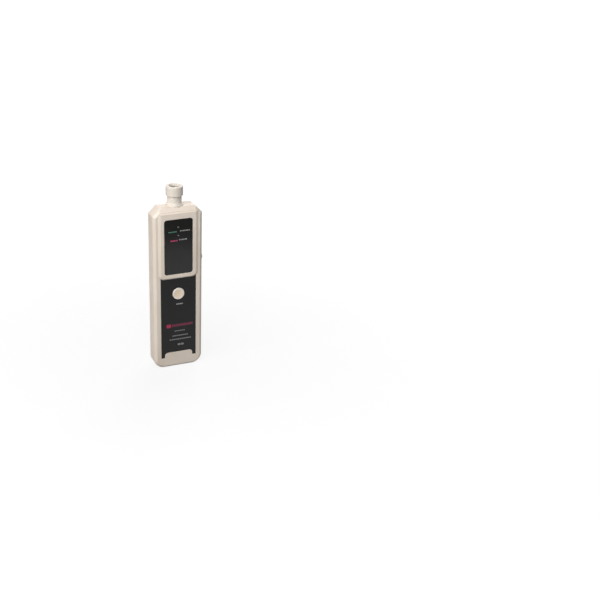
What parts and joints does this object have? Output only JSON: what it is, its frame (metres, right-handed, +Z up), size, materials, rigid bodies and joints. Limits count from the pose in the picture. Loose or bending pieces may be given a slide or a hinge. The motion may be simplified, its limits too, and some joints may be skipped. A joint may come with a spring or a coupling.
{
  "type": "ultrasonic leak detector",
  "caption": "Hand-held ultrasonic leak detector: tall moulded housing with dark window, black panel, push button, battery door and a capped sensor neck on top.",
  "frame": {"origin": "centre of the flat base that the detector stands on", "axes": "+Z up along the sensor, -Y out of the front with the window and button, +X to the right of the front"},
  "size_m": [0.0545, 0.0245, 0.2035],
  "materials": {
    "cream_abs": "fine spark texture",
    "button_abs": "satin",
    "smoked_acrylic": "gloss",
    "black_polycarbonate": "satin",
    "black_moulding": "satin",
    "lamp_epoxy": "clear grey",
    "board_laminate": "solder mask",
    "transducer_aluminium": "satin",
    "nickel_plate": "bright",
    "zinc_steel": "plated",
    "soft_rubber": "matte",
    "foam": "open cell",
    "wire_red": "satin",
    "wire_black": "satin",
    "battery_jacket": "printed",
    "capacitor_sleeve": "satin"
  },
  "bodies": {
    "housing": {"front_shell": "cream_abs", "rear_shell": "cream_abs", "display_window": "smoked_acrylic", "front_panel": "black_polycarbonate", "switch_body": "black_moulding", "circuit_board": "board_laminate", "board_screws": "zinc_steel", "housing_screws": "zinc_steel", "sensor_neck": "cream_abs", "sensor_cap": "cream_abs", "transducer_can": "transducer_aluminium", "transducer_mesh": "transducer_aluminium", "transducer_base": "black_moulding", "transducer_pins": "nickel_plate", "rubber_sleeve": "soft_rubber", "sensor_leads": "wire_black", "phone_jack": "black_moulding", "jack_ferrule": "nickel_plate", "jack_contacts": "nickel_plate", "battery": "battery_jacket", "battery_terminals": "nickel_plate", "battery_snap": "black_moulding", "snap_contacts": "nickel_plate", "battery_lead_red": "wire_red", "battery_lead_black": "wire_black", "foam_pad": "foam", "amplifier_chips": "black_moulding", "capacitors": "capacitor_sleeve", "chip_resistors": "black_moulding", "lamp_legs": "nickel_plate", "green_lamp": "lamp_epoxy", "red_lamp": "lamp_epoxy"},
    "button": {"test_button": "button_abs", "switch_plunger": "black_moulding"},
    "door": {"battery_door": "cream_abs"}
  },
  "joints": [
    {"name": "button_press", "type": "slide", "parent": "housing", "child": "button", "axis": [0, 1, 0], "range_m": [0, 0.0006], "stiffness_N_per_m": 1500, "springref_m": -0.0005},
    {"name": "door_hinge", "type": "hinge", "parent": "housing", "child": "door", "pos_m": [0, 0.0098, 0.00945], "axis": [-1, 0, 0], "range_deg": [0, 90]}
  ]
}
